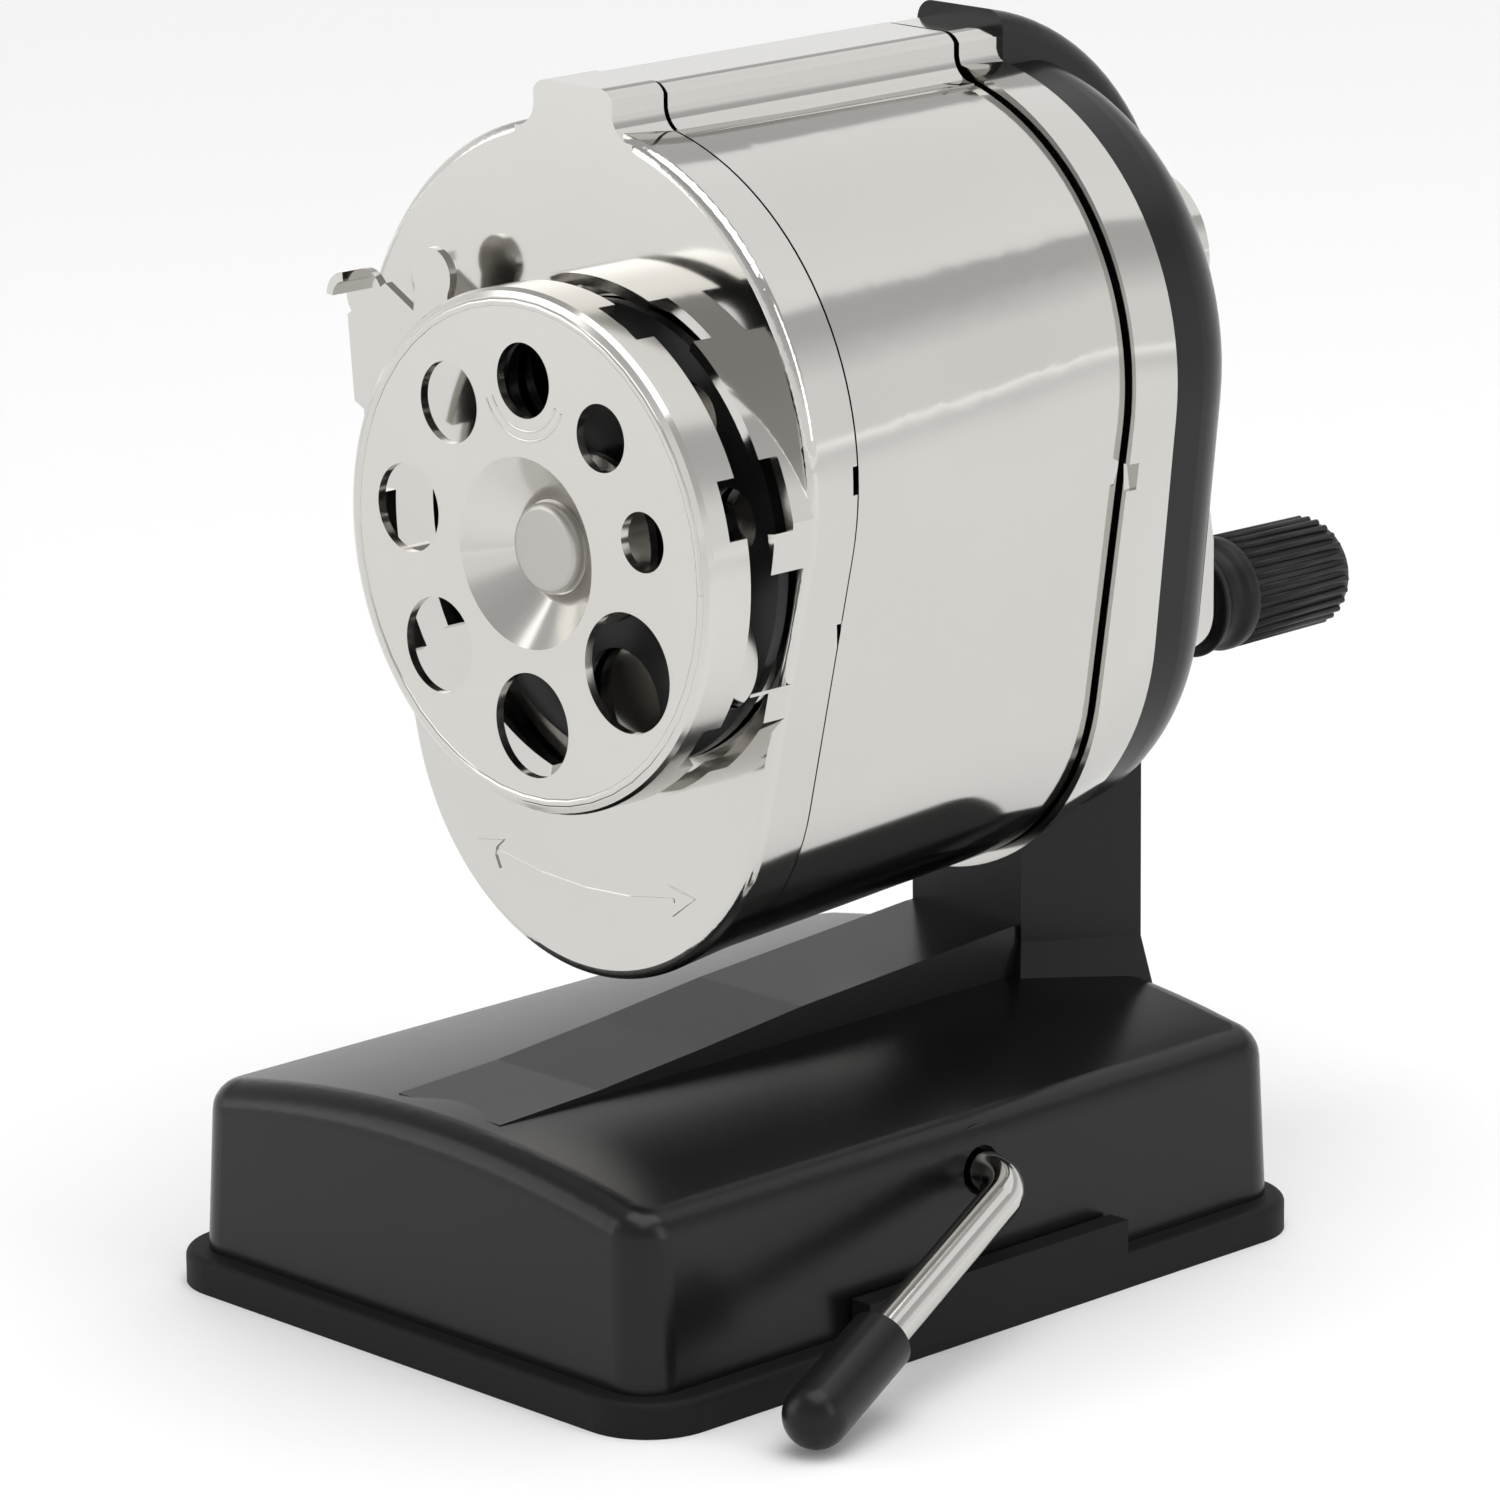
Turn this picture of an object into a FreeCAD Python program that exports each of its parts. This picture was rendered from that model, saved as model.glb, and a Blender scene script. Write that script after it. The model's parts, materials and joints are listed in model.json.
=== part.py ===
import FreeCAD, Part
import math
import os

V = FreeCAD.Vector
os.makedirs("parts", exist_ok=True)

# ---------------------------------------------------------------- driving dimensions, mm
CRANK_Z = 102.5
DIAL_X = 7.5
DIAL_Z = 86.2
DIAL_R = 27.6
HOLE_RING_R = 18.2
INCH = 25.4
HOLE_SIZES = [10, 9, 8, 16, 14, 13, 12, 11]
LAND = 4.8

PAD_T = 3.8
PAD_X = 39.0
PAD_Y0 = -50.6
PAD_Y1 = 50.5
BASE_X = 36.0
BASE_TOP_X = 34.8
BASE_Y0 = -48.0
BASE_Y1 = 48.5
CAMBER_R = 165.0
BASE_TOP = 26.0
WALL = 2.8

LEVER_Y = 1.8
LEVER_Z = 17.0
ROD_R = 2.2
LIFT = 2.4
LEVER_TURN = math.radians(108.0)

TILT = math.radians(10.0)
APEX_Y = 65.36
GEAR_Y = 24.0
PINION_TEETH = 12
RING_TEETH = 26
PRESSURE = math.radians(25.0)
CUTTER_R = 8.0
PIN_R = 1.5
SHAFT_R = 3.0
RUN = 0.05

ARM_DROP = 41.7
KNOB_Z = CRANK_Z - ARM_DROP


# ---------------------------------------------------------------- helpers
def box(x0, x1, y0, y1, z0, z1):
    return Part.makeBox(x1 - x0, y1 - y0, z1 - z0, V(x0, y0, z0))


def cyl_y(x, z, r, y0, y1):
    return Part.makeCylinder(r, y1 - y0, V(x, y0, z), V(0, 1, 0))


def cyl_x(y, z, r, x0, x1):
    return Part.makeCylinder(r, x1 - x0, V(x0, y, z), V(1, 0, 0))


def cyl_z(x, y, r, z0, z1):
    return Part.makeCylinder(r, z1 - z0, V(x, y, z0), V(0, 0, 1))


def poly(points):
    return Part.makePolygon(points + [points[0]])


def prism(points, push):
    return Part.Face(poly(points)).extrude(push)


def egg(y, zu, ru, zl, rl, inset=0.0):
    """Closed outline of two circles one above the other joined by straight sides."""
    a = ru - inset
    b = rl - inset
    nz = -(a - b) / (zu - zl)
    nx = math.sqrt(1.0 - nz * nz)
    ur = V(nx * a, y, zu + nz * a)
    ul = V(-nx * a, y, zu + nz * a)
    lr = V(nx * b, y, zl + nz * b)
    ll = V(-nx * b, y, zl + nz * b)
    top = Part.Arc(ur, V(0, y, zu + a), ul).toShape()
    left = Part.makeLine(ul, ll)
    bottom = Part.Arc(ll, V(0, y, zl - b), lr).toShape()
    right = Part.makeLine(lr, ur)
    return Part.Wire([top, left, bottom, right])


def egg_prism(y0, y1, shape, inset=0.0):
    return Part.Face(egg(y0, *shape, inset)).extrude(V(0, y1 - y0, 0))


def loft(*wires):
    return Part.makeLoft(list(wires), True, True)


def round_rect(z, hx, y0, y1, r):
    k = r * (1.0 - math.sqrt(0.5))
    c = [(hx, y0, -1), (hx, y1, 1), (-hx, y1, 1), (-hx, y0, -1)]
    edges = []
    a = [V(hx, y0 + r, z), V(hx, y1 - r, z)]
    b = [V(hx - r, y1, z), V(-hx + r, y1, z)]
    d = [V(-hx, y1 - r, z), V(-hx, y0 + r, z)]
    e = [V(-hx + r, y0, z), V(hx - r, y0, z)]
    edges.append(Part.makeLine(*a))
    edges.append(Part.Arc(a[1], V(hx - k, y1 - k, z), b[0]).toShape())
    edges.append(Part.makeLine(*b))
    edges.append(Part.Arc(b[1], V(-hx + k, y1 - k, z), d[0]).toShape())
    edges.append(Part.makeLine(*d))
    edges.append(Part.Arc(d[1], V(-hx + k, y0 + k, z), e[0]).toShape())
    edges.append(Part.makeLine(*e))
    edges.append(Part.Arc(e[1], V(hx - k, y0 + k, z), a[0]).toShape())
    return Part.Wire(edges)


def fillet(shape, r, test):
    picked = [e for e in shape.Edges if test(e.BoundBox)]
    return shape.makeFillet(r, picked)


def turned(profile, x, z):
    """Revolve (radius, y) pairs about an axis along Y through x, z."""
    face = Part.Face(poly([V(x + r, y, z) for r, y in profile]))
    return face.revolve(V(x, 0, z), V(0, 1, 0), 360)


def sector(x, z, a0, a1, r0, r1, y0, y1):
    """Wedge of a ring about an axis along Y, angles from +X toward +Z in degrees."""
    n = max(2, int(abs(a1 - a0) / 8) + 1)
    angles = [math.radians(a0 + (a1 - a0) * i / n) for i in range(n + 1)]
    out = [V(x + r1 * math.cos(a), y0, z + r1 * math.sin(a)) for a in angles]
    inner = [V(x + r0 * math.cos(a), y0, z + r0 * math.sin(a)) for a in reversed(angles)]
    return prism(out + inner, V(0, y1 - y0, 0))


def save(name, shape):
    solid = shape.removeSplitter()
    solid.exportStep("parts/" + name + ".step")
    print(name, solid.isValid(), len(solid.Solids), round(solid.Volume))
    return solid


# ---------------------------------------------------------------- outlines of the head
PLATE = (93.6, 35.0, 64.1, 28.0)
PLATE_REAR = (94.0, 34.2, 64.3, 27.4)
DRUM_FRONT = (94.1, 34.1, 64.3, 27.3)
DRUM_REAR = (97.0, 31.1, 65.8, 26.2)
SKIRT = (96.8, 28.4, 65.8, 23.3)
RING_FRONT = (97.0, 32.2, 65.8, 27.3)
RING_REAR = (96.5, 32.4, 70.5, 29.4)
BELL = (96.5, 31.9, 71.0, 28.9)


def ridge(y0, y1, z_top):
    """Flat-topped channel with concave feet that runs along the top of the head."""
    zf = 126.0
    p = [V(9, y0, zf), V(9, y0, 127.0), V(6, y0, 129.6), V(6, y0, z_top - 1.1), V(4.3, y0, z_top)]
    q = [V(-v.x, v.y, v.z) for v in reversed(p)]
    foot_r = Part.Arc(p[1], V(6.9, y0, 127.8), p[2]).toShape()
    top_r = Part.Arc(p[3], V(5.5, y0, z_top - 0.5), p[4]).toShape()
    top_l = Part.Arc(q[0], V(-5.5, y0, z_top - 0.5), q[1]).toShape()
    foot_l = Part.Arc(q[2], V(-6.9, y0, 127.8), q[3]).toShape()
    lines = [(p[0], p[1]), (p[2], p[3]), (p[4], q[0]), (q[1], q[2]), (q[3], q[4]), (q[4], p[0])]
    ln = [Part.makeLine(a, b) for a, b in lines]
    wire = Part.Wire([ln[0], foot_r, ln[1], top_r, ln[2], top_l, ln[3], foot_l, ln[4], ln[5]])
    return Part.Face(wire).extrude(V(0, y1 - y0, 0))


# ---------------------------------------------------------------- stand: base, post and bell in one moulding
def camber(z_top, r):
    """Long cylinder along Y that gives the arched top; its seam is turned underneath."""
    body = Part.makeCylinder(r, 140, V(0, -70, z_top - r), V(0, 1, 0))
    body.rotate(V(0, 0, z_top - r), V(0, 1, 0), 180)
    return body


base = loft(
    round_rect(PAD_T, BASE_X, BASE_Y0, BASE_Y1, 4.6),
    round_rect(30.0, BASE_TOP_X, BASE_Y0 + 0.8, BASE_Y1 - 0.4, 4.6),
).common(camber(BASE_TOP, CAMBER_R))
base = fillet(base, 3.6, lambda b: b.ZMin > 15.0)

ramp_profile = [(-42, 18), (-42, 25.9), (-28, 26.5), (-13, 27.8), (2, 29.3), (34, 31.4), (46, 31.4), (46, 18)]
ramp = prism([V(-8, y, z) for y, z in ramp_profile], V(16, 0, 0))

post = prism([V(-8.5, 35.5, 18), V(8.5, 35.5, 18), V(16, 46.9, 18), V(-16, 46.9, 18)], V(0, 0, 40))
post_foot = loft(
    poly([V(-9.8, 34.0, 24), V(9.8, 34.0, 24), V(17.8, 47.0, 24), V(-17.8, 47.0, 24)]),
    poly([V(-8.5, 35.5, 29.5), V(8.5, 35.5, 29.5), V(16, 46.9, 29.5), V(-16, 46.9, 29.5)]),
)

bell = egg_prism(35.0, 47.0, BELL)
bell = fillet(bell, 7.4, lambda b: b.YMin > 46.5)

fin_wire = Part.Wire([
    Part.makeLine(V(-6.5, 35, 112), V(-6.5, 35, 133.7)),
    Part.Arc(V(-6.5, 35, 133.7), V(-6.5, 47.5, 128.6), V(-6.5, 58.1, 117.4)).toShape(),
    Part.makeLine(V(-6.5, 58.1, 117.4), V(-6.5, 60, 110)),
    Part.makeLine(V(-6.5, 60, 110), V(-6.5, 60, 104)),
    Part.makeLine(V(-6.5, 60, 104), V(-6.5, 46, 104)),
    Part.makeLine(V(-6.5, 46, 104), V(-6.5, 35, 112)),
])
fin = Part.Face(fin_wire).extrude(V(13, 0, 0))
fin = fillet(fin, 2.2, lambda b: b.XLength < 0.01 and b.YMin > 34.9 and b.ZMin > 109 and b.YLength > 1.0)
boss = Part.makeCone(13.5, 9.4, 16.0, V(0, 46, CRANK_Z), V(0, 1, 0))

housing = base.fuse([ramp, post, post_foot, bell, fin, boss])

bell_core = egg_prism(34.0, 39.5, BELL, 2.2).fuse(loft(egg(39.5, *BELL, 2.2), egg(43.8, *BELL, 5.6)))
base_core = loft(
    round_rect(PAD_T - 1, BASE_X - WALL, BASE_Y0 + WALL, BASE_Y1 - WALL, 2.5),
    round_rect(30.0, BASE_TOP_X - WALL, BASE_Y0 + 0.8 + WALL, BASE_Y1 - 0.4 - WALL, 2.5),
).common(camber(BASE_TOP - WALL, CAMBER_R - WALL))
pocket = box(-5.8, 5.8, -6.2, 9.8, 20.0, 26.7)
post_core = prism([V(-5.6, 38.0, 15), V(5.6, 38.0, 15), V(10.5, 44.2, 15), V(-10.5, 44.2, 15)], V(0, 0, 24))
housing = housing.cut(bell_core).cut(base_core).cut(pocket).cut(post_core)

SCREW_SPOTS = [(26.0, -36.0), (-26.0, -36.0), (-26.0, 34.0), (26.0, 34.0)]
pillars = [cyl_z(x, y, 3.8, 5.3, 22.0) for x, y in SCREW_SPOTS]
bearing = box(-8.6, -5.9, LEVER_Y - 5, LEVER_Y + 5, 12.4, 24.2)
rod_boss = cyl_x(LEVER_Y, LEVER_Z, 4.8, 28.5, 34.5)
housing = housing.fuse(pillars + [bearing, rod_boss])
for x, y in SCREW_SPOTS:
    housing = housing.cut(cyl_z(x, y, 1.5, 5.0, 16.0))
housing = housing.cut(cyl_x(LEVER_Y, LEVER_Z, ROD_R + RUN, -10, 40))
housing = housing.cut(cyl_x(LEVER_Y, LEVER_Z, 2.7, 34.2, 40))
housing = housing.cut(cyl_y(0, CRANK_Z, 5.0, 43, 63))
GEAR_SPOTS = [(20.5, CRANK_Z), (-20.5, CRANK_Z), (0.0, CRANK_Z - 20.5)]
for x, z in GEAR_SPOTS:
    housing = housing.cut(cyl_y(x, z, 1.2, 43, 46))
save("stand_housing", housing)

# ---------------------------------------------------------------- pad and its fixings
pad = Part.Face(round_rect(0, PAD_X, PAD_Y0, PAD_Y1, 8.0)).extrude(V(0, 0, PAD_T))
pad = fillet(pad, 0.9, lambda b: b.ZMin > PAD_T - 0.1)
pad = pad.fuse(box(BASE_X + 0.3, PAD_X, -18.5, 20.6, 2.0, 7.8))
pad = pad.cut(cyl_z(0, LEVER_Y, 18.0, -1, 5))
retainer = Part.Face(round_rect(PAD_T, 31.5, -43.5, 43.0, 6.0)).extrude(V(0, 0, 1.5))
retainer = retainer.cut(cyl_z(0, LEVER_Y, 19.0, 3, 6))
screws = []
for x, y in SCREW_SPOTS:
    pad = pad.cut(cyl_z(x, y, 3.2, -1, 2.9)).cut(cyl_z(x, y, 1.5, 2, 5))
    retainer = retainer.cut(cyl_z(x, y, 1.5, 3, 6))
    screw = cyl_z(x, y, 3.0, 1.1, 2.9).fuse(cyl_z(x, y, 1.5, 2.9, 15.0))
    screw = screw.cut(box(x - 2.3, x + 2.3, y - 0.4, y + 0.4, 0.5, 1.9))
    screw = screw.cut(box(x - 0.4, x + 0.4, y - 2.3, y + 2.3, 0.5, 1.9))
    screws.append(screw)
save("suction_pad", pad)
save("pad_retainer", retainer)
save("retainer_screws", Part.makeCompound(screws))

# ---------------------------------------------------------------- chrome ring between drum and bell
ring = loft(egg(28.8, *RING_FRONT), egg(35.0, *RING_REAR))
ring = ring.fuse(ridge(28.8, 35.0, 132.0))
ring = ring.fuse(egg_prism(34.0, 38.5, BELL, 2.2))
ring = ring.cut(egg_prism(28.0, 33.6, (96.8, 28.7, 65.8, 23.6)))
ring = ring.cut(egg_prism(33.0, 39.0, BELL, 3.5))
for side in (-1, 1):
    ring = ring.cut(box(min(side * 33, side * 30.4), max(side * 33, side * 30.4), 28, 30.2, 85.5, 88.5))
save("retaining_ring", ring)

# ---------------------------------------------------------------- cutter gearing
def inv(a):
    return math.tan(a) - a


def tooth_outline(teeth, pitch, tip, root, slack):
    """Radius and angle pairs round one involute wheel, tooth centred on angle zero."""
    rb = pitch * math.cos(PRESSURE)
    half = math.pi / (2 * teeth) - slack / (2 * pitch) + inv(PRESSURE)
    start = max(rb * 1.0005, root)
    flank = []
    for i in range(5):
        r = start + (tip - start) * i / 4.0
        flank.append((r, half - inv(math.acos(rb / r))))
    if root < start:
        flank.insert(0, (root, flank[0][1]))
    points = []
    for k in range(teeth):
        mid = 2 * math.pi * k / teeth
        points += [(r, mid - a) for r, a in flank]
        points += [(r, mid + a) for r, a in reversed(flank)]
    return points


APEX = V(0, APEX_Y, CRANK_Z)
ratio = RING_TEETH / PINION_TEETH
pinion_cone = math.atan(math.sin(TILT) / (ratio - math.cos(TILT)))
ring_cone = pinion_cone + TILT
ring_pitch = (APEX_Y - GEAR_Y) * math.tan(ring_cone)
slant = (APEX_Y - GEAR_Y) / math.cos(ring_cone)
pinion_pitch = slant * math.sin(pinion_cone)
pinion_d = slant * math.cos(pinion_cone)
module = 2 * pinion_pitch / PINION_TEETH


def ring_wire(y):
    s = (APEX_Y - y) / (APEX_Y - GEAR_Y)
    pts = tooth_outline(RING_TEETH, ring_pitch, ring_pitch + 1.15 * module, ring_pitch - 0.75 * module, -0.16)
    return poly([V(s * r * math.cos(a), y, CRANK_Z + s * r * math.sin(a)) for r, a in pts])


gear = cyl_y(0, CRANK_Z, 17.6, 21.5, 41.6).fuse(cyl_y(0, CRANK_Z, 19.8, 41.6, 43.8))
gear = gear.fuse([cyl_y(x, z, 4.0, 41.6, 43.8) for x, z in GEAR_SPOTS])
gear = gear.cut(loft(ring_wire(21.0), ring_wire(26.5))).cut(cyl_y(0, CRANK_Z, 15.3, 26.4, 44))
gear_screws = []
for x, z in GEAR_SPOTS:
    gear = gear.cut(cyl_y(x, z, 1.2, 41, 44))
    screw = cyl_y(x, z, 2.2, 39.8, 41.6).fuse(cyl_y(x, z, 1.2, 41.6, 45.6))
    gear_screws.append(screw.cut(box(x - 1.8, x + 1.8, 39, 40.5, z - 0.35, z + 0.35)))
save("ring_gear", gear)
save("gear_screws", Part.makeCompound(gear_screws))
bush = cyl_y(0, CRANK_Z, 5.0, 43.8, 62.0).fuse(cyl_y(0, CRANK_Z, 7.5, 42.4, 43.8))
save("shaft_bush", bush.cut(cyl_y(0, CRANK_Z, SHAFT_R + RUN, 42, 63)))


def cutter_frame(side):
    axis = V(-side * math.sin(TILT), math.cos(TILT), 0)
    out = V(side * math.cos(TILT), math.sin(TILT), 0)
    return axis, out


def cutter_wire(side, d, pts, turn=0.0, scale=1.0):
    axis, out = cutter_frame(side)
    up = V(0, 0, 1)
    mid = APEX - axis * d
    return poly([mid + (out * math.cos(a + turn) + up * math.sin(a + turn)) * (r * scale) for r, a in pts])


def axis_rod(side, r, d0, d1):
    axis = cutter_frame(side)[0]
    return Part.makeCylinder(r, d0 - d1, APEX - axis * d0, axis)


def cutter(side):
    teeth = 12
    pts = []
    for k in range(teeth):
        mid = 2 * math.pi * k / teeth
        pts += [(CUTTER_R, mid), (CUTTER_R, mid + 0.12), (CUTTER_R - 1.1, mid + 0.2), (CUTTER_R - 1.1, mid + 0.36)]
    d0 = (APEX_Y + 9.6) / math.cos(TILT)
    d1 = (APEX_Y - 18.0) / math.cos(TILT)
    steps = 6
    rows = [cutter_wire(side, d0 + (d1 - d0) * i / steps, pts, 0.19 * i) for i in range(steps + 1)]
    body = loft(*rows)
    body = body.fuse(axis_rod(side, 4.2, d1 + 0.5, pinion_d + 1.9))
    p = tooth_outline(PINION_TEETH, pinion_pitch, pinion_pitch + 0.75 * module, pinion_pitch - 1.1 * module, 0.16)
    wheel = [cutter_wire(side, d, p, 0.0, d / pinion_d) for d in (pinion_d + 2.1, pinion_d - 2.1)]
    body = body.fuse(loft(*wheel))
    return body.cut(axis_rod(side, PIN_R + RUN, 90, 30))


disc_z = CRANK_Z
carrier = cyl_y(0, disc_z, 20.0, -14.0, -11.5).cut(cyl_y(0, disc_z, 6.8, -15, -11))
carrier = carrier.fuse(cyl_y(0, disc_z, 13.8, 28.0, 31.0))
carrier = carrier.fuse(cyl_y(0, disc_z, 5.5, 30.5, 41.8))
for side in (-1, 1):
    z0 = min(side * 8.6, side * 11.0) + disc_z
    carrier = carrier.fuse(box(-3.2, 3.2, -12.0, 28.5, z0, z0 + 2.4))
carrier = carrier.cut(cyl_y(0, disc_z, SHAFT_R, 27, 42))
for side, name in ((-1, "left"), (1, "right")):
    d0 = (APEX_Y + 14.0) / math.cos(TILT)
    d1 = (APEX_Y - 30.4) / math.cos(TILT)
    pin = axis_rod(side, PIN_R, d0, d1)
    carrier = carrier.cut(axis_rod(side, PIN_R, d0 + 2, d1))
    save("cutter_pin_" + name, pin)
    save("cutter_" + name, cutter(side))
save("cutter_carrier", carrier)

# ---------------------------------------------------------------- crank
save("crank_shaft", cyl_y(0, CRANK_Z, SHAFT_R, 28.0, 66.5))
arm_pts = [
    V(-5.6, 62.4, CRANK_Z), V(-5.6, 62.4, 96.6), V(-5.6, 67.4, 68.6), V(-5.6, 67.4, KNOB_Z),
    V(-5.6, 69.8, KNOB_Z), V(-5.6, 69.8, 69.0), V(-5.6, 64.8, 97.0), V(-5.6, 64.8, CRANK_Z),
]
arm = prism(arm_pts, V(11.2, 0, 0))
arm = arm.fuse([cyl_y(0, CRANK_Z, 9.4, 62.4, 64.8), cyl_y(0, KNOB_Z, 5.6, 67.4, 69.8)])
arm = arm.cut(cyl_y(0, CRANK_Z, SHAFT_R, 60, 65)).cut(cyl_y(0, KNOB_Z, 2.4, 66, 71))
save("crank_arm", arm)
dome = Part.makeSphere(11.0, V(0, 58.4, CRANK_Z)).common(cyl_y(0, CRANK_Z, 8.6, 64.8, 70.0))
save("hub_cap", dome.cut(cyl_y(0, CRANK_Z, SHAFT_R, 60, 66.5)).cut(arm))
rivet = cyl_y(0, KNOB_Z, 4.2, 66.0, 67.4).fuse(cyl_y(0, KNOB_Z, 2.4, 67.4, 87.0))
save("knob_pin", fillet(rivet, 0.6, lambda b: b.YMax < 66.1))
washer = cyl_y(0, KNOB_Z, 4.4, 69.8, 70.6).cut(cyl_y(0, KNOB_Z, 2.4, 69, 71))
save("knob_washer", washer)


def rib_wire(y, r):
    pts = []
    n = 28
    for k in range(n):
        mid = 2 * math.pi * k / n
        pts += [(r, mid - 0.045), (r, mid + 0.045), (r - 0.4, mid + 0.09), (r - 0.4, mid + 0.134)]
    return poly([V(q * math.cos(a), y, KNOB_Z + q * math.sin(a)) for q, a in pts])


knob_profile = [
    (0, 71.0), (6.3, 71.0), (6.6, 71.3), (6.4, 71.9), (5.8, 72.7), (5.6, 73.6), (5.8, 74.5),
    (6.4, 75.2), (6.6, 75.6), (6.6, 76.6), (6.1, 77.0), (0, 77.0),
]
knob = turned(knob_profile, 0, KNOB_Z)
knob = knob.fuse(loft(rib_wire(76.7, 6.6), rib_wire(91.6, 6.15)))
knob = knob.fuse(turned([(0, 91.4), (5.72, 91.4), (5.7, 92.3), (5.3, 93.0), (4.6, 93.4), (0, 93.4)], 0, KNOB_Z))
knob = knob.cut(cyl_y(0, KNOB_Z, 2.4 + RUN, 70, 88.0))
save("crank_knob", knob)

# ---------------------------------------------------------------- front cover and drum
cover = loft(egg(-22.0, *PLATE), egg(-14.7, *PLATE_REAR))
cover = fillet(cover, 1.1, lambda b: b.YMax < -21.9)
cover = cover.fuse(ridge(-22.0, -14.7, 132.3))
cover = cover.cut(loft(egg(-20.6, *PLATE, 1.3), egg(-14.6, *PLATE_REAR, 1.6)))
cover = cover.cut(box(-4.7, 4.7, -20.6, -14, 122, 131.0))
drum_core = loft(egg(-14.5, *DRUM_FRONT, 1.2), egg(28.3, *DRUM_REAR, 1.2))
lip = egg_prism(-16.0, -10.0, DRUM_FRONT, 1.2).cut(egg_prism(-16.5, -9.5, DRUM_FRONT, 2.4))
lip_core = loft(egg(-16.2, *DRUM_FRONT, 1.15), egg(-14.5, *DRUM_FRONT, 1.2)).fuse(drum_core)
lip = lip.common(lip_core).cut(box(-9.5, 9.5, -17, -9, 120, 135))
cover = cover.fuse(lip)
collar = cyl_y(DIAL_X, DIAL_Z, 27.8, -27.0, -20.9).cut(cyl_y(DIAL_X, DIAL_Z, 26.6, -28, -20))
collar = collar.common(egg_prism(-28, -20, PLATE, 0.2))
for a0, a1, depth in ((56, 71, 2.6), (10, 26, 2.6), (-52, -29, 2.6), (-105, -90, 2.6), (-150, -136, 2.6)):
    collar = collar.cut(sector(DIAL_X, DIAL_Z, a0, a1, 24, 30, -27.5, -27.0 + depth))
collar = collar.cut(sector(DIAL_X, DIAL_Z, 122, 200, 24, 30, -27.5, -25.6))
cover = cover.fuse(collar)
cover = cover.cut(cyl_y(0, CRANK_Z, 7.2, -23, -20)).cut(cyl_y(DIAL_X, DIAL_Z, SHAFT_R + RUN, -23, -20))
STUD_X = -22.6
STUD_Z = 78.7
cover = cover.cut(cyl_y(STUD_X, STUD_Z, 1.3, -23, -20))
ARROW_R = 64.0
ARROW_Z = 109.8
arrow = sector(0, ARROW_Z, -102.5, -77.5, ARROW_R - 0.25, ARROW_R + 0.25, -22.2, -21.8)
for side in (-1, 1):
    tip = math.radians(-90 + side * 15.4)
    head = []
    for dr, da in ((0, 0.0), (1.7, 0.062), (0.5, 0.048), (-0.5, 0.048), (-1.7, 0.062)):
        t = tip - side * da
        head.append(V((ARROW_R + dr) * math.cos(t), -22.2, ARROW_Z + (ARROW_R + dr) * math.sin(t)))
    arrow = arrow.fuse(prism(head, V(0, 0.4, 0)))
cover = cover.fuse(arrow)
for z0, z1 in ((93.0, 96.0), (74.0, 79.0)):
    cover = cover.cut(box(31.0, 36.0, -15.4, -14.6, z0, z1))
save("front_cover", cover)
stud = cyl_y(STUD_X, STUD_Z, 1.6, -27.4, -22.0).fuse(cyl_y(STUD_X, STUD_Z, 1.3, -22.0, -20.0))
save("stop_stud", stud)

drum = loft(egg(-14.4, *DRUM_FRONT), egg(28.2, *DRUM_REAR)).fuse(ridge(-14.1, 28.0, 132.1))
drum = drum.cut(drum_core).cut(box(-4.7, 4.7, -15, 27.0, 122, 130.9))
rear_face = egg_prism(27.2, 28.2, DRUM_REAR, 0.6).cut(egg_prism(27, 29, SKIRT, 1.0))
skirt = egg_prism(27.2, 33.2, SKIRT).cut(egg_prism(27, 34, SKIRT, 1.0))
save("drum_shell", drum.fuse([rear_face, skirt]))

# ---------------------------------------------------------------- size dial
dial_profile = [
    (3.0, -32.5), (5.0, -32.5), (10.1, -36.5), (26.7, -36.5), (27.3, -36.2), (27.6, -35.6),
    (27.6, -30.8), (26.6, -30.8), (26.6, -35.5), (10.6, -35.5), (5.5, -31.5), (3.0, -31.5),
]
dial = turned(dial_profile, DIAL_X, DIAL_Z)
guide = cyl_y(DIAL_X, DIAL_Z, 24.6, -24.0, -22.6).cut(cyl_y(DIAL_X, DIAL_Z, SHAFT_R, -25, -22))
angle = math.radians(89.5)
holes = []
for i, size in enumerate(HOLE_SIZES):
    r = size / 64.0 * INCH
    holes.append((DIAL_X + HOLE_RING_R * math.cos(angle), DIAL_Z + HOLE_RING_R * math.sin(angle), r))
    r_next = HOLE_SIZES[(i + 1) % 8] / 64.0 * INCH
    angle -= 2.0 * math.asin((r + r_next + LAND) / (2.0 * HOLE_RING_R))
for x, z, r in holes:
    dial = dial.cut(cyl_y(x, z, r, -37, -35))
    guide = guide.cut(cyl_y(x, z, min(r + 0.4, 6.2), -25, -22))
for mid in (66.5, 17.0, -40.5, -92.0, -140.0, 170.0, 118.0):
    dial = dial.cut(sector(DIAL_X, DIAL_Z, mid - 6.5, mid + 6.5, 25, 29, -33.2, -30))
save("dial_cup", dial)
save("guide_disc", guide)
spacer = cyl_y(DIAL_X, DIAL_Z, 5.2, -31.5, -24.0).cut(cyl_y(DIAL_X, DIAL_Z, SHAFT_R, -32, -23))
save("dial_spacer", spacer)
rivet = cyl_y(DIAL_X, DIAL_Z, 4.8, -34.0, -32.5)
rivet = fillet(rivet, 0.7, lambda b: b.YMax < -33.9)
rivet = rivet.fuse(cyl_y(DIAL_X, DIAL_Z, SHAFT_R, -32.5, -20.2)).fuse(cyl_y(DIAL_X, DIAL_Z, 4.6, -20.2, -19.0))
save("dial_rivet", rivet)

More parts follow.
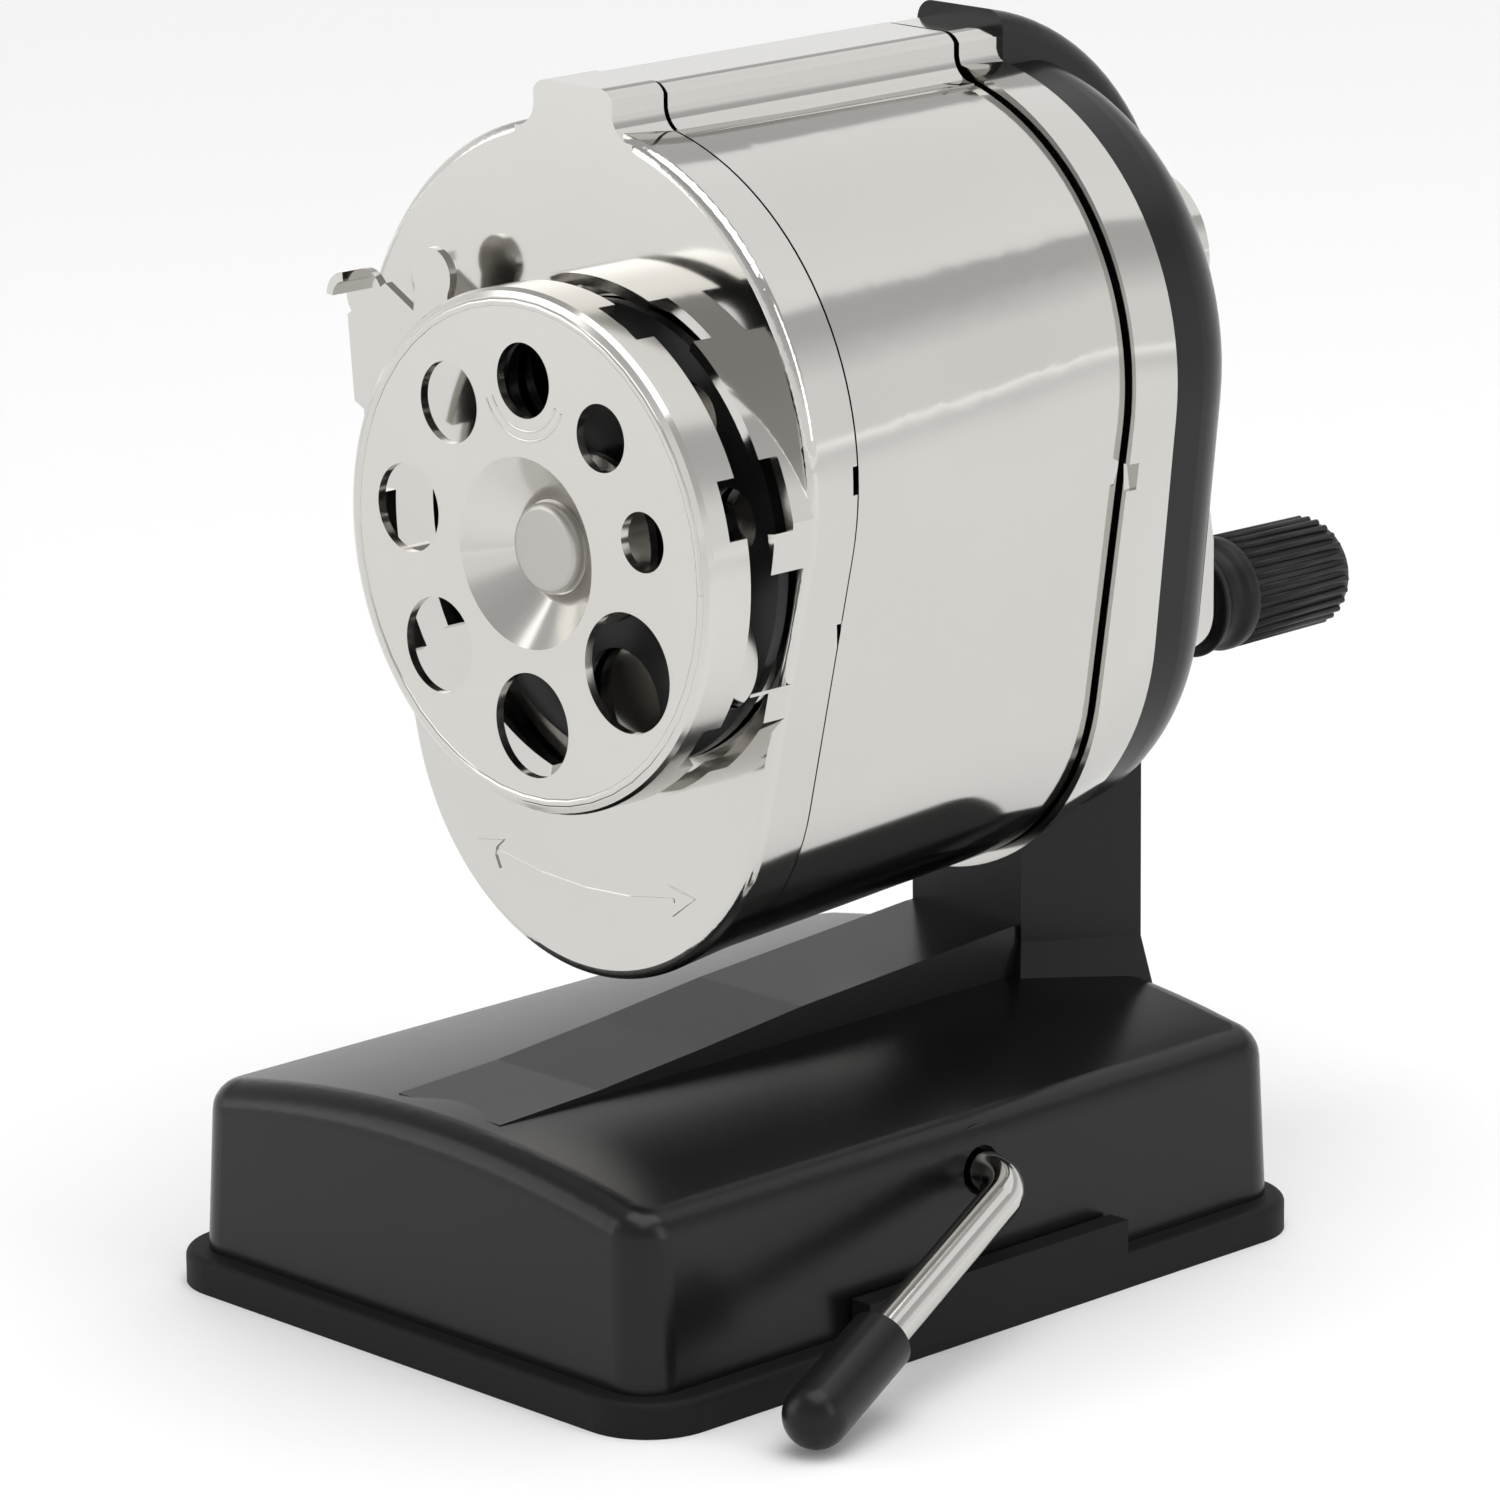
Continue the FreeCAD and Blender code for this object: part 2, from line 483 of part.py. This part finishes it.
lever_pts = [(2.0, 93.0), (-19.3, 106.2), (-24.2, 108.8), (-30.4, 104.6), (-29.6, 95.3), (0.5, 81.0)]
sel = prism([V(x, -27.2, z) for x, z in lever_pts], V(0, 1.0, 0))
ear_neck = [V(-15.0, -27.2, 101.0), V(-14.2, -27.2, 109.5), V(-19.4, -27.2, 109.5), V(-20.0, -27.2, 104.0)]
sel = sel.fuse([cyl_y(DIAL_X, DIAL_Z, 9.0, -27.2, -26.2), cyl_y(-27.6, 107.0, 2.9, -27.2, -26.2)])
sel = sel.fuse([prism(ear_neck, V(0, 1.0, 0)), cyl_y(-16.8, 110.6, 3.0, -27.2, -26.2)])
sel = sel.fuse(sector(-27.6, 107.0, 95, 175, 1.9, 2.9, -30.0, -26.4))
save("selector_lever", sel.cut(cyl_y(DIAL_X, DIAL_Z, 5.2 + RUN, -28, -26)))

# ---------------------------------------------------------------- lock lever and pull-down disc
CORNER = V(40.6, LEVER_Y, LEVER_Z)
TIP = V(51.8, -39.4, 3.8)
along = (TIP - CORNER)
along.normalize()
cosine = V(1, 0, 0).dot(along)
bend = 5.6
reach = bend * math.tan(math.acos(cosine) / 2.0)
p_in = CORNER - V(reach, 0, 0)
p_out = CORNER + along * reach
inward = (along - V(1, 0, 0))
inward.normalize()
mid_d = bend / math.cos(math.acos(cosine) / 2.0)
p_mid = CORNER + inward * (mid_d - bend)
ROD_END = CORNER + along * 43.0
path = Part.Wire([
    Part.makeLine(V(-10.6, LEVER_Y, LEVER_Z), p_in),
    Part.Arc(p_in, p_mid, p_out).toShape(),
    Part.makeLine(p_out, ROD_END),
])
circle = Part.Wire([Part.makeCircle(ROD_R, V(-10.6, LEVER_Y, LEVER_Z), V(1, 0, 0))])
save("lever_rod", path.makePipeShell([circle], True, True))
cap_from = CORNER + along * 30.3
cap_len = 16.8
cap = Part.makeCylinder(3.55, cap_len - 3.2, cap_from, along)
cap = cap.fuse(Part.makeSphere(3.55, cap_from + along * (cap_len - 3.2)))
cap = cap.cut(Part.makeCylinder(ROD_R, 12.7, cap_from, along))
save("lever_cap", cap)

CAM_R = 5.25
fall = LIFT / LEVER_TURN
cam_pts = []
for i in range(60):
    a = 2 * math.pi * i / 60.0
    if a <= LEVER_TURN:
        r = CAM_R - fall * a
    elif a < math.radians(250):
        r = CAM_R - LIFT
    elif a < math.radians(335):
        r = CAM_R - LIFT + LIFT * (a - math.radians(250)) / math.radians(85)
    else:
        r = CAM_R
    t = a + math.pi / 2
    cam_pts.append(V(-1.8, LEVER_Y + r * math.cos(t), LEVER_Z + r * math.sin(t)))
cam = prism(cam_pts, V(3.6, 0, 0)).cut(cyl_x(LEVER_Y, LEVER_Z, ROD_R, -3, 3))
save("lift_cam", cam)
clip = cyl_x(LEVER_Y, LEVER_Z, 3.8, -10.0, -9.1).cut(cyl_x(LEVER_Y, LEVER_Z, ROD_R, -11, -9))
save("lever_clip", clip)

disc = cyl_z(0, LEVER_Y, 17.7, LIFT, 5.2)
save("pull_disc", fillet(disc, 0.6, lambda b: b.ZMax < LIFT + 0.1))
PIN_Z = LEVER_Z + CAM_R + 0.35 + 1.0
yoke = box(-4.4, 4.4, LEVER_Y - 5, LEVER_Y + 5, 5.2, 7.0)
for side in (-1, 1):
    x0 = min(side * 2.5, side * 4.4)
    yoke = yoke.fuse(box(x0, x0 + 1.9, LEVER_Y - 5, LEVER_Y + 5, 5.2, 25.0))
slot = box(-5, 5, LEVER_Y - 2.7, LEVER_Y + 2.7, LEVER_Z, 19.5).fuse([
    cyl_x(LEVER_Y, LEVER_Z, 2.7, -5, 5), cyl_x(LEVER_Y, 19.4, 2.7, -5, 5)])
yoke = yoke.cut(slot).cut(cyl_x(LEVER_Y, PIN_Z, 1.0, -5, 5))
save("plunger_yoke", yoke)
save("follower_pin", cyl_x(LEVER_Y, PIN_Z, 1.0, -4.9, 4.9))

for name, y in (("front", LEVER_Y - 12.2), ("rear", LEVER_Y + 12.2)):
    helix = Part.makeHelix(3.3, 16.2, 4.0)
    helix.translate(V(0, y, 5.9))
    start = Part.Wire([Part.makeCircle(0.6, V(4.0, y, 5.9), V(0, 1, 0.13))])
    coil = Part.Wire(helix.Edges).makePipeShell([start], True, True)
    save("return_spring_" + name, coil)
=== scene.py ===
import json
import math

import bmesh
import bpy
from mathutils import Matrix, Vector


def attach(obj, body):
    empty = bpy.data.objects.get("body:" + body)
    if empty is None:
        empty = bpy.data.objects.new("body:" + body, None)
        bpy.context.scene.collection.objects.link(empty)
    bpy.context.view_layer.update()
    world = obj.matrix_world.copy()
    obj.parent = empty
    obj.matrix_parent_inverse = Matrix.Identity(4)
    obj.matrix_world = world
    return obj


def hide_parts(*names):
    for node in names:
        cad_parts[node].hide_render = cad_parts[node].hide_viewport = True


MM = 0.001
KNOB_Z = 60.8 * MM
RIBS_MID_Y = 84.3 * MM
DIAL = Vector((7.5 * MM, 0, 86.2 * MM))
DIAL_FACE_Y = -36.5 * MM
RIM_Y = -36.45 * MM
HOLE_RING = 18.2 * MM
TOP_HOLE_DEG = 89.5

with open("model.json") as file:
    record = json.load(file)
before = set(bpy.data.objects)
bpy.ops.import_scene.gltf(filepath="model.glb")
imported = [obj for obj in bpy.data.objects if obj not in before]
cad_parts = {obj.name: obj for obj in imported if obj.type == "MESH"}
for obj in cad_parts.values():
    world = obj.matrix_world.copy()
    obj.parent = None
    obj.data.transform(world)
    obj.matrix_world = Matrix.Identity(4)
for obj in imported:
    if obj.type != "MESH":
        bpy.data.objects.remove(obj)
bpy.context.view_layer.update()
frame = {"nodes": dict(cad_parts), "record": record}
nodes = frame["nodes"]


# ------------------------------------------------------------------ shader maths
class Value:
    """One number on the surface; +, - and * add Math nodes."""

    def __init__(self, net, socket):
        self.net = net
        self.socket = socket

    def _math(self, operation, a, b=None):
        node = self.net.tree.nodes.new("ShaderNodeMath")
        node.operation = operation
        for i, v in enumerate((a, b)):
            if isinstance(v, Value):
                self.net.tree.links.new(v.socket, node.inputs[i])
            elif v is not None:
                node.inputs[i].default_value = v
        return Value(self.net, node.outputs[0])

    def __radd__(self, other):
        return self._math("ADD", other, self)

    def __sub__(self, other):
        return self._math("SUBTRACT", self, other)

    def __mul__(self, other):
        return self._math("MULTIPLY", self, other)

    def __rmul__(self, other):
        return self._math("MULTIPLY", other, self)

    def clamped(self):
        node = self._math("ADD", self, 0.0)
        node.socket.node.use_clamp = True
        return node


class Finish:
    """A material's node tree, built one node at a time."""

    def __init__(self, name):
        self.material = bpy.data.materials.new(name)
        self.material.use_nodes = True
        self.tree = self.material.node_tree
        self.shader = self.tree.nodes["Principled BSDF"]

    def add(self, kind, settings=None, **sockets):
        node = self.tree.nodes.new("ShaderNode" + kind)
        for key, v in (settings or {}).items():
            setattr(node, key, v)
        for key, v in sockets.items():
            self.plug(node.inputs[key.replace("_", " ")], v)
        return node

    def plug(self, socket, v):
        if isinstance(v, Value):
            v = v.socket
        if isinstance(v, bpy.types.NodeSocket):
            self.tree.links.new(v, socket)
        else:
            socket.default_value = v

    def set(self, **sockets):
        for key, v in sockets.items():
            self.plug(self.shader.inputs[key.replace("_", " ")], v)

    def place(self, stretch=(1, 1, 1)):
        coords = self.add("TexCoord")
        mapping = self.add("Mapping", Vector=coords.outputs["Object"], Scale=stretch)
        return mapping.outputs[0]

    def noise(self, scale, detail, stretch=(1, 1, 1)):
        node = self.add("TexNoise", Vector=self.place(stretch), Scale=scale, Detail=detail, Roughness=0.5)
        return Value(self, node.outputs[0])

    def tint(self, mask, dark, light):
        mix = self.add("Mix", {"data_type": "RGBA"})
        self.plug(mix.inputs[0], mask)
        self.plug(mix.inputs[6], (*dark, 1))
        self.plug(mix.inputs[7], (*light, 1))
        return mix.outputs[2]

    def bump(self, height, distance, strength=1.0):
        node = self.add("Bump", Height=height, Distance=distance, Strength=strength)
        self.set(Normal=node.outputs[0])


def plated(name, light, rough, haze=0.05, stretch=(1, 1, 1)):
    """Bright plate with faint handling haze."""
    f = Finish(name)
    haze_mask = f.noise(60.0, 4.0, stretch).clamped()
    fine = f.noise(900.0, 2.0, stretch)
    f.set(Base_Color=f.tint(haze_mask, [c * 0.95 for c in light], light), Metallic=1.0)
    f.set(Roughness=rough + haze * haze_mask)
    f.bump(fine, 0.000002, 0.25)
    return f.material


def ground_steel(name, light, rough, stretch):
    """Machined steel with fine tool lines along one direction."""
    f = Finish(name)
    lines = f.noise(1500.0, 2.0, stretch)
    stain = f.noise(120.0, 3.0)
    f.set(Base_Color=f.tint(stain.clamped(), [c * 0.8 for c in light], light), Metallic=1.0)
    f.set(Roughness=rough + 0.14 * lines)
    f.bump(lines, 0.000006, 0.5)
    return f.material


def moulded(name, dark, rough, grain, depth, spread=0.08, shine=0.32):
    """Black plastic or rubber with a moulded grain."""
    f = Finish(name)
    fine = f.noise(grain, 2.0)
    wear = f.noise(35.0, 4.0)
    f.set(Base_Color=f.tint(wear.clamped(), dark, [c * 1.35 for c in dark]), Specular_IOR_Level=shine)
    f.set(Roughness=rough + spread * (wear - 0.5))
    f.bump(fine, depth, 0.6)
    return f.material


chrome = plated("bright_chrome", (0.60, 0.588, 0.562), 0.07)
chrome_dial = plated("dial_chrome", (0.62, 0.605, 0.575), 0.13, 0.07)
rivet_steel = plated("rivet_steel", (0.47, 0.455, 0.43), 0.3, 0.14)
black_moulding = moulded("black_moulding", (0.005, 0.005, 0.0054), 0.25, 2600.0, 0.000010, 0.05, 0.28)
black_rubber = moulded("black_rubber", (0.006, 0.006, 0.006), 0.62, 1500.0, 0.00003, 0.08, 0.17)
black_vinyl = moulded("black_vinyl", (0.005, 0.005, 0.0055), 0.30, 1100.0, 0.000008, 0.08, 0.24)
knob_plastic = moulded("knob_plastic", (0.006, 0.006, 0.0065), 0.42, 1800.0, 0.00001, 0.08, 0.24)
tool_steel = ground_steel("tool_steel", (0.36, 0.35, 0.345), 0.28, (1, 6, 1))
zinc_steel = plated("zinc_steel", (0.80, 0.79, 0.765), 0.2, 0.1)
# Darker steel for the dial spacer: partly the spacer's own dull metal and partly painted shade for the
# dark gap between the dial and its collar.
painted_shade_steel = plated("painted_shade_steel", (0.34, 0.33, 0.315), 0.22, 0.1)
bronze = ground_steel("bronze", (0.50, 0.35, 0.17), 0.32, (6, 1, 6))

SLOT_FINISH = {
    "black_moulding": black_moulding,
    "black_rubber": black_rubber,
    "bright_chrome": chrome,
    "tool_steel": tool_steel,
    "zinc_steel": zinc_steel,
    "bronze": bronze,
    "black_vinyl": black_vinyl,
}
NODE_FINISH = {
    "dial_cup": chrome_dial,
    "dial_rivet": rivet_steel,
    # the spacer takes the darkened steel, painted shade for the gap behind the dial
    "dial_spacer": painted_shade_steel,
    "crank_knob": knob_plastic,
}
slot_of = {s["node"]: s["material_slot"] for s in frame["record"]["subparts"]}
for name, piece in nodes.items():
    piece.data.materials.clear()
    piece.data.materials.append(NODE_FINISH.get(name) or SLOT_FINISH.get(slot_of.get(name), zinc_steel))


# ------------------------------------------------------------------ geometry nodes
class Growth:
    """A geometry tree with named inputs that ends in realised instances and a material.

    Sockets are given by name, or as n0, n1 and so on where a node's inputs share one name.
    """

    def __init__(self, name, **inputs):
        self.tree = bpy.data.node_groups.new(name, "GeometryNodeTree")
        self.tree.interface.new_socket("Geometry", in_out="OUTPUT", socket_type="NodeSocketGeometry")
        self.values = {}
        for key, v in inputs.items():
            kind = "NodeSocketInt" if isinstance(v, int) else "NodeSocketFloat"
            socket = self.tree.interface.new_socket(key, in_out="INPUT", socket_type=kind)
            self.values[socket.identifier] = v
        self.start = self.tree.nodes.new("NodeGroupInput")
        self.end = self.tree.nodes.new("NodeGroupOutput")

    def size(self, name):
        return self.start.outputs[name]

    def add(self, kind, settings=None, **sockets):
        node = self.tree.nodes.new(kind)
        for key, v in (settings or {}).items():
            setattr(node, key, v)
        for key, v in sockets.items():
            numbered = key[0] == "n" and key[1:].isdigit()
            socket = node.inputs[int(key[1:]) if numbered else key.replace("_", " ")]
            if isinstance(v, bpy.types.NodeSocket):
                self.tree.links.new(v, socket)
            else:
                socket.default_value = v
        return node

    def grow(self, name, geometry, material, slot, body):
        real = self.add("GeometryNodeRealizeInstances", Geometry=geometry)
        done = self.add("GeometryNodeSetMaterial", Geometry=real.outputs[0], Material=material)
        self.tree.links.new(done.outputs[0], self.end.inputs[0])
        seed = bpy.data.objects.new(name + "_seed", bpy.data.meshes.new(name + "_seed"))
        bpy.context.scene.collection.objects.link(seed)
        mod = seed.modifiers.new("grow", "NODES")
        mod.node_group = self.tree
        for key, v in self.values.items():
            mod[key] = v
        bpy.context.view_layer.update()
        ready = seed.evaluated_get(bpy.context.evaluated_depsgraph_get())
        mesh = bpy.data.meshes.new_from_object(ready)
        mesh.name = name
        piece = bpy.data.objects.new(name, mesh)
        bpy.context.scene.collection.objects.link(piece)
        seed.modifiers.clear()
        bpy.data.objects.remove(seed)
        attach(piece, body)
        return piece


def turned_mesh(name, profile, centre, steps=96):
    """Closed shape of revolution about an axis along Y, from (radius, y) pairs."""
    bm = bmesh.new()
    rings = []
    for r, y in profile:
        if r < 1e-7:
            rings.append([bm.verts.new((centre.x, y, centre.z))])
            continue
        ring = []
        for i in range(steps):
            a = 2 * math.pi * i / steps
            ring.append(bm.verts.new((centre.x + r * math.cos(a), y, centre.z + r * math.sin(a))))
        rings.append(ring)
    for a, b in zip(rings, rings[1:]):
        for i in range(steps):
            j = (i + 1) % steps
            if len(a) == 1:
                bm.faces.new((a[0], b[j], b[i]))
            elif len(b) == 1:
                bm.faces.new((a[i], a[j], b[0]))
            else:
                bm.faces.new((a[i], a[j], b[j], b[i]))
    bmesh.ops.recalc_face_normals(bm, faces=bm.faces)
    mesh = bpy.data.meshes.new(name)
    bm.to_mesh(mesh)
    bm.free()
    for face in mesh.polygons:
        face.use_smooth = True
    piece = bpy.data.objects.new(name, mesh)
    bpy.context.scene.collection.objects.link(piece)
    return piece


def knob_ribs():
    """Round ribs along the crank knob, drawn in toward its end."""
    g = Growth("knob_ribs", Count=28, Radius=6.06 * MM, Length=15.2 * MM, Rib=0.42 * MM, Draw=1.9)
    ring = g.add("GeometryNodeMeshCircle", Vertices=g.size("Count"), Radius=g.size("Radius"))
    rib = g.add(
        "GeometryNodeMeshCylinder",
        Vertices=10,
        Side_Segments=2,
        Radius=g.size("Rib"),
        Depth=g.size("Length"),
    )
    smooth = g.add("GeometryNodeSetShadeSmooth", Geometry=rib.outputs["Mesh"])
    spread = g.add("GeometryNodeInstanceOnPoints", Points=ring.outputs["Mesh"], Instance=smooth.outputs[0])
    real = g.add("GeometryNodeRealizeInstances", Geometry=spread.outputs[0])
    where = g.add("GeometryNodeInputPosition")
    parts = g.add("ShaderNodeSeparateXYZ", Vector=where.outputs[0])
    drawn = g.add("ShaderNodeMath", {"operation": "MULTIPLY"}, n0=parts.outputs[2], n1=g.size("Draw"))
    taper = g.add("ShaderNodeMath", {"operation": "ADD"}, n0=drawn.outputs[0], n1=1.0)
    scale = g.add("ShaderNodeCombineXYZ", X=taper.outputs[0], Y=taper.outputs[0], Z=1.0)
    drawn_in = {"n0": where.outputs[0], "n1": scale.outputs[0]}
    moved = g.add("ShaderNodeVectorMath", {"operation": "MULTIPLY"}, **drawn_in)
    shaped = g.add("GeometryNodeSetPosition", Geometry=real.outputs[0], Position=moved.outputs[0])
    placed = g.add(
        "GeometryNodeTransform",
        Geometry=shaped.outputs[0],
        Translation=(0, RIBS_MID_Y, KNOB_Z),
        Rotation=(math.radians(90), 0, 0),
    )
    return g.grow("knob_ribs", placed.outputs[0], knob_plastic, "black_vinyl", "knob")


def dial_bead(name, radius, bead, flatten, start, sweep, centre):
    """A bead raised on the dial's face, following part of a circle in degrees."""
    g = Growth(name, Radius=radius, Bead=bead, Start=math.radians(start), Sweep=math.radians(sweep))
    arc = g.add(
        "GeometryNodeCurveArc",
        Resolution=48,
        Radius=g.size("Radius"),
        Start_Angle=g.size("Start"),
        Sweep_Angle=g.size("Sweep"),
    )
    section = g.add("GeometryNodeCurvePrimitiveCircle", Resolution=10, Radius=g.size("Bead"))
    bead_mesh = g.add(
        "GeometryNodeCurveToMesh",
        Curve=arc.outputs["Curve"],
        Profile_Curve=section.outputs["Curve"],
        Fill_Caps=True,
    )
    placed = g.add(
        "GeometryNodeTransform",
        Geometry=bead_mesh.outputs[0],
        Translation=tuple(centre),
        Rotation=(math.radians(90), 0, 0),
        Scale=(1, 1, flatten),
    )
    smooth = g.add("GeometryNodeSetShadeSmooth", Geometry=placed.outputs[0])
    return g.grow(name, smooth.outputs[0], chrome_dial, "bright_chrome", "dial")


# (radius, y) in millimetres, from the end of the bore round the outside and back to the axis
GRIP_PROFILE = [
    (0.0, 88.0), (2.45, 88.0), (2.45, 71.0),
    (6.25, 71.0), (6.55, 71.15), (6.6, 71.45), (6.4, 71.9), (6.05, 72.35), (5.75, 72.9),
    (5.62, 73.6), (5.72, 74.3), (6.05, 74.8), (6.45, 75.2), (6.6, 75.6), (6.6, 76.5),
    (6.5, 76.85), (6.25, 77.05), (5.85, 91.3),
    (5.8, 92.0), (5.6, 92.7), (5.2, 93.15), (4.5, 93.4), (0.0, 93.4),
]
grip = turned_mesh("knob_grip", [(r * MM, y * MM) for r, y in GRIP_PROFILE], Vector((0, 0, KNOB_Z)))
grip.data.materials.append(knob_plastic)
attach(grip, "knob")
knob_ribs()
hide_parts("crank_knob")

hole_turn = math.radians(TOP_HOLE_DEG)
top_hole = Vector((
    DIAL.x + HOLE_RING * math.cos(hole_turn),
    DIAL_FACE_Y,
    DIAL.z + HOLE_RING * math.sin(hole_turn),
))
for i, r in enumerate((5.3, 6.3)):
    dial_bead(f"size_arc_{i + 1}", r * MM, 0.16 * MM, 0.5, 205, 130, top_hole)
dial_bead("rim_bead", 26.2 * MM, 0.45 * MM, 0.55, 0, 360, Vector((DIAL.x, RIM_Y, DIAL.z)))

# ------------------------------------------------------------------ stage, lights and camera
# Painted light: the pale floor also glows, with emission rising with distance from the origin past
# GLOW_START, so it turns white away from the object while the shadow close to it stays.
FLOOR_HALF = 6.0
GLOW_START = 0.3
GLOW_SLOPE = 0.35
GLOW_TOP = 0.8

floor_finish = Finish("pale_floor_painted_glow")
floor_finish.set(Base_Color=(0.93, 0.93, 0.93, 1), Roughness=0.7)
reach = floor_finish.add("VectorMath", {"operation": "LENGTH"}, Vector=floor_finish.place())
away = (Value(floor_finish, reach.outputs["Value"]) - GLOW_START) * GLOW_SLOPE
floor_finish.set(Emission_Color=(1, 1, 1, 1), Emission_Strength=away.clamped() * GLOW_TOP)
floor_mesh = bpy.data.meshes.new("floor")
floor_corners = [(x * FLOOR_HALF, y * FLOOR_HALF, 0) for x, y in ((-1, -1), (1, -1), (1, 1), (-1, 1))]
floor_mesh.from_pydata(floor_corners, [], [(0, 1, 2, 3)])
floor_mesh.materials.append(floor_finish.material)
floor = bpy.data.objects.new("floor", floor_mesh)
bpy.context.scene.collection.objects.link(floor)

# (position on the ramp, grey) from just below the horizon up to overhead
SKY_TONES = ((0.36, 1.0), (0.5, 0.62), (0.8, 0.50))
SKY_LOW = -0.2
SKY_HIGH = 1.0

world = bpy.data.worlds.new("studio")
world.use_nodes = True
bpy.context.scene.world = world
sky = world.node_tree
look = sky.nodes.new("ShaderNodeTexCoord")
split = sky.nodes.new("ShaderNodeSeparateXYZ")
height = sky.nodes.new("ShaderNodeMapRange")
shade = sky.nodes.new("ShaderNodeValToRGB")
background = sky.nodes["Background"]
height.inputs["From Min"].default_value = SKY_LOW
height.inputs["From Max"].default_value = SKY_HIGH
sky.links.new(look.outputs["Generated"], split.inputs[0])
sky.links.new(split.outputs[2], height.inputs["Value"])
sky.links.new(height.outputs[0], shade.inputs[0])
sky.links.new(shade.outputs[0], background.inputs["Color"])
stops = shade.color_ramp.elements
for at, tone in SKY_TONES:
    stop = stops.new(at)
    stop.color = (tone, tone, tone, 1)
stops.remove(stops[0])
stops.remove(stops[-1])
background.inputs["Strength"].default_value = 1.0


def softbox(name, place, target, width, length, power):
    """Rectangular light at place (metres) that faces target."""
    lamp = bpy.data.lights.new(name, "AREA")
    lamp.shape = "RECTANGLE"
    lamp.size = width
    lamp.size_y = length
    lamp.energy = power
    box = bpy.data.objects.new(name, lamp)
    box.location = place
    box.rotation_euler = (Vector(target) - Vector(place)).to_track_quat("-Z", "Y").to_euler()
    bpy.context.scene.collection.objects.link(box)


AIM = (0, 0, 0.08)
softbox("top_softbox", (0.1, 0.0, 0.9), (0, 0, 0.06), 0.8, 0.8, 5.0)
softbox("left_softbox", (-0.7, -0.7, 0.45), AIM, 0.5, 0.7, 1.6)
softbox("right_softbox", (0.85, 0.15, 0.5), AIM, 0.35, 0.7, 1.4)
softbox("back_softbox", (0.05, 0.72, 0.80), AIM, 0.9, 0.45, 0.7)

EYE = Vector((573.99, -545.68, 267.56)) * MM
YAW = -0.80854
PITCH = 0.26001
ROLL = -0.01133
FOCAL_MM = 182.49
SENSOR_MM = 36.0

forward = Vector((math.sin(YAW) * math.cos(PITCH), math.cos(YAW) * math.cos(PITCH), -math.sin(PITCH)))
level = Vector((math.cos(YAW), -math.sin(YAW), 0))
rise = level.cross(forward)
right = math.cos(ROLL) * level + math.sin(ROLL) * rise
up = -math.sin(ROLL) * level + math.cos(ROLL) * rise
lens = bpy.data.cameras.new("camera")
lens.sensor_width = SENSOR_MM
lens.lens = FOCAL_MM
lens.clip_start = 0.05
lens.clip_end = 20.0
camera = bpy.data.objects.new("camera", lens)
camera.matrix_world = Matrix.Translation(EYE) @ Matrix((right, up, -forward)).transposed().to_4x4()
bpy.context.scene.collection.objects.link(camera)
bpy.context.scene.camera = camera
bpy.context.scene.view_settings.view_transform = "Standard"
